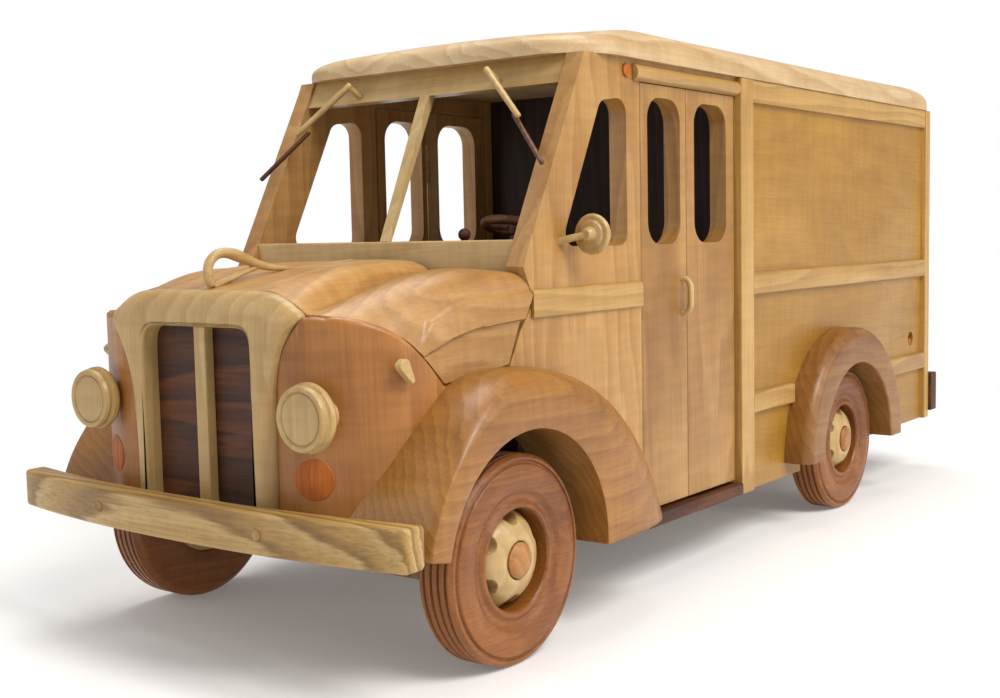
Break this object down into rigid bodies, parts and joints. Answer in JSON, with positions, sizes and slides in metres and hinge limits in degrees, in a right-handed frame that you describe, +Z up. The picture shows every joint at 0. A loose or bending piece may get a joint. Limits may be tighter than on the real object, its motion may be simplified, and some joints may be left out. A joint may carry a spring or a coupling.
{
  "type": "wooden model delivery truck",
  "caption": "Wooden scale model of a walk-in mail delivery truck with turning wheels, lifting hood, folding side doors, swinging rear doors and sweeping wipers.",
  "frame": {"origin": "on the ground under the middle of the truck's overall length and width", "axes": "+Z up, +Y from nose to tail, +X to the driver's left"},
  "size_m": [0.171, 0.455, 0.202],
  "materials": {
    "maple_rough": "sanded and clear oiled",
    "dowel_birch": "sanded and clear oiled",
    "cherry": "sanded and clear oiled",
    "maple": "sanded and clear oiled",
    "walnut": "sanded and clear oiled",
    "padauk": "sanded and clear oiled",
    "ash": "sanded and clear oiled",
    "alder": "sanded and clear oiled",
    "cherry_fender": "sanded and clear oiled",
    "dark_board": "sanded and clear oiled",
    "dowel_walnut": "sanded and clear oiled",
    "brass": "drawn pin wire",
    "birch_panel": "sanded and clear oiled",
    "alder_rail": "sanded and clear oiled",
    "maple_roof": "sanded and clear oiled",
    "mahogany": "sanded and clear oiled"
  },
  "bodies": {
    "truck": {"chassis": "maple_rough", "axles": "dowel_birch", "axle_caps": "cherry", "grille_surround": "maple", "grille_panel": "walnut", "grille_bar": "maple", "nose_cheek_left": "cherry", "nose_cheek_right": "cherry", "headlights": "maple", "turn_lamps": "padauk", "side_pegs": "padauk", "cheek_leaves": "maple", "front_bumper": "ash", "bumper_dowels": "dowel_birch", "front_fender_left": "cherry_fender", "front_fender_right": "cherry_fender", "rear_fender_left": "cherry_fender", "rear_fender_right": "cherry_fender", "cab_side_left": "alder", "cab_side_right": "alder", "cowl_bar": "maple", "windshield_header": "maple", "windshield_post": "maple", "firewall": "dark_board", "steering_column": "walnut", "seat": "dark_board", "mirrors": "maple", "hinge_pins": "brass", "box_side_left": "birch_panel", "box_side_right": "birch_panel", "side_posts": "alder_rail", "side_mouldings": "alder_rail", "steps": "walnut", "bulkhead": "dark_board", "roof": "maple_roof", "rear_frame": "alder", "rear_bumper": "walnut"},
    "wheel_front_left": {"tyre_front_left": "mahogany", "hub_front_left": "maple"},
    "wheel_front_right": {"tyre_front_right": "mahogany", "hub_front_right": "maple"},
    "wheel_rear_left": {"tyre_rear_left": "mahogany", "hub_rear_left": "maple"},
    "wheel_rear_right": {"tyre_rear_right": "mahogany", "hub_rear_right": "maple"},
    "hood": {"hood": "alder", "hood_ornament": "maple"},
    "front_leaf_left": {"front_leaf_left": "alder", "door_handle_left": "maple", "leaf_pin_left": "brass"},
    "rear_leaf_left": {"rear_leaf_left": "alder"},
    "rear_door_left": {"rear_door_left": "birch_panel"},
    "wiper_left": {"wiper_left": "maple"},
    "front_leaf_right": {"front_leaf_right": "alder", "door_handle_right": "maple", "leaf_pin_right": "brass"},
    "rear_leaf_right": {"rear_leaf_right": "alder"},
    "rear_door_right": {"rear_door_right": "birch_panel"},
    "wiper_right": {"wiper_right": "maple"},
    "steering_wheel": {"steering_wheel": "dowel_walnut"}
  },
  "joints": [
    {"name": "front_left_wheel_spin", "type": "hinge", "parent": "truck", "child": "wheel_front_left", "pos_m": [0.07, -0.1605, 0.032], "axis": [1, 0, 0], "continuous": true},
    {"name": "front_right_wheel_spin", "type": "hinge", "parent": "truck", "child": "wheel_front_right", "pos_m": [-0.07, -0.1605, 0.032], "axis": [1, 0, 0], "continuous": true},
    {"name": "rear_left_wheel_spin", "type": "hinge", "parent": "truck", "child": "wheel_rear_left", "pos_m": [0.07, 0.1025, 0.032], "axis": [1, 0, 0], "continuous": true},
    {"name": "rear_right_wheel_spin", "type": "hinge", "parent": "truck", "child": "wheel_rear_right", "pos_m": [-0.07, 0.1025, 0.032], "axis": [1, 0, 0], "continuous": true},
    {"name": "hood_hinge", "type": "hinge", "parent": "truck", "child": "hood", "pos_m": [0, -0.1403, 0.1175], "axis": [-1, 0, 0], "range_deg": [0, 50]},
    {"name": "left_front_leaf_fold", "type": "hinge", "parent": "truck", "child": "front_leaf_left", "pos_m": [0.0642, -0.0675, 0.105], "axis": [0, 0, -1], "range_deg": [0, 70]},
    {"name": "left_rear_leaf_fold", "type": "hinge", "parent": "front_leaf_left", "child": "rear_leaf_left", "pos_m": [0.0605, -0.0363, 0.105], "axis": [0, 0, -1], "range_deg": [-140, 0]},
    {"name": "left_rear_door_swing", "type": "hinge", "parent": "truck", "child": "rear_door_left", "pos_m": [0.057, 0.2177, 0.117], "axis": [0, 0, -1], "range_deg": [0, 90]},
    {"name": "left_wiper_sweep", "type": "hinge", "parent": "truck", "child": "wiper_left", "pos_m": [0.0326, -0.109, 0.1826], "axis": [0, 0.8873, -0.4611], "range_deg": [0, 65]},
    {"name": "right_front_leaf_fold", "type": "hinge", "parent": "truck", "child": "front_leaf_right", "pos_m": [-0.0642, -0.0675, 0.105], "axis": [0, 0, 1], "range_deg": [0, 70]},
    {"name": "right_rear_leaf_fold", "type": "hinge", "parent": "front_leaf_right", "child": "rear_leaf_right", "pos_m": [-0.0605, -0.0363, 0.105], "axis": [0, 0, 1], "range_deg": [-140, 0]},
    {"name": "right_rear_door_swing", "type": "hinge", "parent": "truck", "child": "rear_door_right", "pos_m": [-0.057, 0.2177, 0.117], "axis": [0, 0, 1], "range_deg": [0, 90]},
    {"name": "right_wiper_sweep", "type": "hinge", "parent": "truck", "child": "wiper_right", "pos_m": [-0.0326, -0.109, 0.1826], "axis": [0, -0.8873, 0.4611], "range_deg": [0, 65]},
    {"name": "steering_turn", "type": "hinge", "parent": "truck", "child": "steering_wheel", "pos_m": [0.028, -0.0925, 0.1316], "axis": [0, 0.2653, 0.9642], "continuous": true}
  ],
  "couplings": [
    {"joint": "left_rear_leaf_fold", "follows": "left_front_leaf_fold", "ratio": -2},
    {"joint": "right_rear_leaf_fold", "follows": "right_front_leaf_fold", "ratio": -2}
  ]
}
